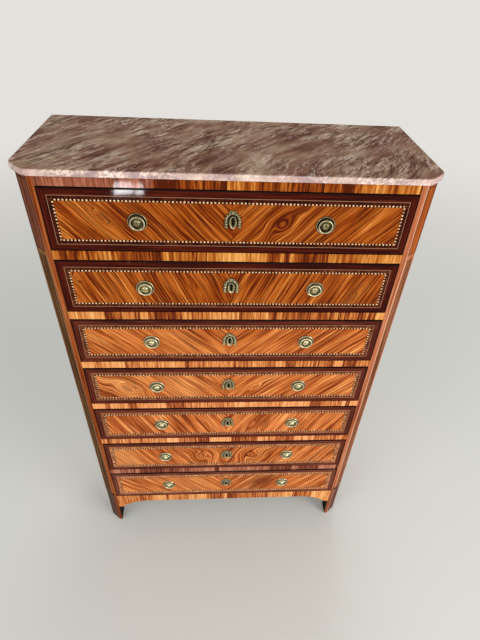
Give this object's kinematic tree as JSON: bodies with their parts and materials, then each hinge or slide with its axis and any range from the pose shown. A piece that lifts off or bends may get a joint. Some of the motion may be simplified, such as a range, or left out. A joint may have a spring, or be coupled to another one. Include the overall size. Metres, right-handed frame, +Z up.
{
  "type": "semainier",
  "caption": "Tall chest of equal drawers with canted fluted corners, bracketed apron, marble slab, drop ring pulls and wreath escutcheons over working lock bolts.",
  "frame": {"origin": "on the floor, in the middle of the chest's width and depth", "axes": "+Z up, +X to the right of someone facing the drawers, -Y out of the front, so that the drawers open towards -Y"},
  "size_m": [0.942, 0.368, 1.452],
  "materials": {
    "marble": "polished",
    "veneer": "french polished",
    "carcase_oak": "waxed",
    "drawer_oak": "bare",
    "brass": "patinated",
    "lock_iron": "dark filed"
  },
  "bodies": {
    "carcase": {"marble_top": "marble", "front_post_right": "veneer", "front_post_left": "veneer", "rear_posts": "carcase_oak", "back_boards": "carcase_oak", "side_panel_right": "veneer", "side_panel_left": "veneer", "apron": "veneer", "top_and_dust_boards": "carcase_oak", "drawer_rails": "veneer", "drawer_runners": "carcase_oak"},
    "drawer_1": {"drawer_1_front": "veneer", "drawer_1_box": "drawer_oak", "drawer_1_brasses": "brass", "drawer_1_lock": "lock_iron"},
    "bolt_1": {"drawer_1_bolt": "lock_iron"},
    "ring_1_left": {"drawer_1_ring_left": "brass"},
    "ring_1_right": {"drawer_1_ring_right": "brass"},
    "drawer_2": {"drawer_2_front": "veneer", "drawer_2_box": "drawer_oak", "drawer_2_brasses": "brass", "drawer_2_lock": "lock_iron"},
    "bolt_2": {"drawer_2_bolt": "lock_iron"},
    "ring_2_left": {"drawer_2_ring_left": "brass"},
    "ring_2_right": {"drawer_2_ring_right": "brass"},
    "drawer_3": {"drawer_3_front": "veneer", "drawer_3_box": "drawer_oak", "drawer_3_brasses": "brass", "drawer_3_lock": "lock_iron"},
    "bolt_3": {"drawer_3_bolt": "lock_iron"},
    "ring_3_left": {"drawer_3_ring_left": "brass"},
    "ring_3_right": {"drawer_3_ring_right": "brass"},
    "drawer_4": {"drawer_4_front": "veneer", "drawer_4_box": "drawer_oak", "drawer_4_brasses": "brass", "drawer_4_lock": "lock_iron"},
    "bolt_4": {"drawer_4_bolt": "lock_iron"},
    "ring_4_left": {"drawer_4_ring_left": "brass"},
    "ring_4_right": {"drawer_4_ring_right": "brass"},
    "drawer_5": {"drawer_5_front": "veneer", "drawer_5_box": "drawer_oak", "drawer_5_brasses": "brass", "drawer_5_lock": "lock_iron"},
    "bolt_5": {"drawer_5_bolt": "lock_iron"},
    "ring_5_left": {"drawer_5_ring_left": "brass"},
    "ring_5_right": {"drawer_5_ring_right": "brass"},
    "drawer_6": {"drawer_6_front": "veneer", "drawer_6_box": "drawer_oak", "drawer_6_brasses": "brass", "drawer_6_lock": "lock_iron"},
    "bolt_6": {"drawer_6_bolt": "lock_iron"},
    "ring_6_left": {"drawer_6_ring_left": "brass"},
    "ring_6_right": {"drawer_6_ring_right": "brass"},
    "drawer_7": {"drawer_7_front": "veneer", "drawer_7_box": "drawer_oak", "drawer_7_brasses": "brass", "drawer_7_lock": "lock_iron"},
    "bolt_7": {"drawer_7_bolt": "lock_iron"},
    "ring_7_left": {"drawer_7_ring_left": "brass"},
    "ring_7_right": {"drawer_7_ring_right": "brass"}
  },
  "joints": [
    {"name": "drawer_1_slide", "type": "slide", "parent": "carcase", "child": "drawer_1", "axis": [0, -1, 0], "range_m": [0, 0.26]},
    {"name": "bolt_1_throw", "type": "slide", "parent": "drawer_1", "child": "bolt_1", "axis": [0, 0, 1], "range_m": [0, 0.008]},
    {"name": "ring_1_left_swing", "type": "hinge", "parent": "drawer_1", "child": "ring_1_left", "pos_m": [-0.212, -0.18, 1.347], "axis": [-1, 0, 0], "range_deg": [0, 160]},
    {"name": "ring_1_right_swing", "type": "hinge", "parent": "drawer_1", "child": "ring_1_right", "pos_m": [0.212, -0.18, 1.347], "axis": [-1, 0, 0], "range_deg": [0, 160]},
    {"name": "drawer_2_slide", "type": "slide", "parent": "carcase", "child": "drawer_2", "axis": [0, -1, 0], "range_m": [0, 0.26]},
    {"name": "bolt_2_throw", "type": "slide", "parent": "drawer_2", "child": "bolt_2", "axis": [0, 0, 1], "range_m": [0, 0.008]},
    {"name": "ring_2_left_swing", "type": "hinge", "parent": "drawer_2", "child": "ring_2_left", "pos_m": [-0.212, -0.18, 1.167], "axis": [-1, 0, 0], "range_deg": [0, 160]},
    {"name": "ring_2_right_swing", "type": "hinge", "parent": "drawer_2", "child": "ring_2_right", "pos_m": [0.212, -0.18, 1.167], "axis": [-1, 0, 0], "range_deg": [0, 160]},
    {"name": "drawer_3_slide", "type": "slide", "parent": "carcase", "child": "drawer_3", "axis": [0, -1, 0], "range_m": [0, 0.26]},
    {"name": "bolt_3_throw", "type": "slide", "parent": "drawer_3", "child": "bolt_3", "axis": [0, 0, 1], "range_m": [0, 0.008]},
    {"name": "ring_3_left_swing", "type": "hinge", "parent": "drawer_3", "child": "ring_3_left", "pos_m": [-0.212, -0.18, 0.987], "axis": [-1, 0, 0], "range_deg": [0, 160]},
    {"name": "ring_3_right_swing", "type": "hinge", "parent": "drawer_3", "child": "ring_3_right", "pos_m": [0.212, -0.18, 0.987], "axis": [-1, 0, 0], "range_deg": [0, 160]},
    {"name": "drawer_4_slide", "type": "slide", "parent": "carcase", "child": "drawer_4", "axis": [0, -1, 0], "range_m": [0, 0.26]},
    {"name": "bolt_4_throw", "type": "slide", "parent": "drawer_4", "child": "bolt_4", "axis": [0, 0, 1], "range_m": [0, 0.008]},
    {"name": "ring_4_left_swing", "type": "hinge", "parent": "drawer_4", "child": "ring_4_left", "pos_m": [-0.212, -0.18, 0.807], "axis": [-1, 0, 0], "range_deg": [0, 160]},
    {"name": "ring_4_right_swing", "type": "hinge", "parent": "drawer_4", "child": "ring_4_right", "pos_m": [0.212, -0.18, 0.807], "axis": [-1, 0, 0], "range_deg": [0, 160]},
    {"name": "drawer_5_slide", "type": "slide", "parent": "carcase", "child": "drawer_5", "axis": [0, -1, 0], "range_m": [0, 0.26]},
    {"name": "bolt_5_throw", "type": "slide", "parent": "drawer_5", "child": "bolt_5", "axis": [0, 0, 1], "range_m": [0, 0.008]},
    {"name": "ring_5_left_swing", "type": "hinge", "parent": "drawer_5", "child": "ring_5_left", "pos_m": [-0.212, -0.18, 0.627], "axis": [-1, 0, 0], "range_deg": [0, 160]},
    {"name": "ring_5_right_swing", "type": "hinge", "parent": "drawer_5", "child": "ring_5_right", "pos_m": [0.212, -0.18, 0.627], "axis": [-1, 0, 0], "range_deg": [0, 160]},
    {"name": "drawer_6_slide", "type": "slide", "parent": "carcase", "child": "drawer_6", "axis": [0, -1, 0], "range_m": [0, 0.26]},
    {"name": "bolt_6_throw", "type": "slide", "parent": "drawer_6", "child": "bolt_6", "axis": [0, 0, 1], "range_m": [0, 0.008]},
    {"name": "ring_6_left_swing", "type": "hinge", "parent": "drawer_6", "child": "ring_6_left", "pos_m": [-0.212, -0.18, 0.447], "axis": [-1, 0, 0], "range_deg": [0, 160]},
    {"name": "ring_6_right_swing", "type": "hinge", "parent": "drawer_6", "child": "ring_6_right", "pos_m": [0.212, -0.18, 0.447], "axis": [-1, 0, 0], "range_deg": [0, 160]},
    {"name": "drawer_7_slide", "type": "slide", "parent": "carcase", "child": "drawer_7", "axis": [0, -1, 0], "range_m": [0, 0.26]},
    {"name": "bolt_7_throw", "type": "slide", "parent": "drawer_7", "child": "bolt_7", "axis": [0, 0, 1], "range_m": [0, 0.008]},
    {"name": "ring_7_left_swing", "type": "hinge", "parent": "drawer_7", "child": "ring_7_left", "pos_m": [-0.212, -0.18, 0.267], "axis": [-1, 0, 0], "range_deg": [0, 160]},
    {"name": "ring_7_right_swing", "type": "hinge", "parent": "drawer_7", "child": "ring_7_right", "pos_m": [0.212, -0.18, 0.267], "axis": [-1, 0, 0], "range_deg": [0, 160]}
  ]
}
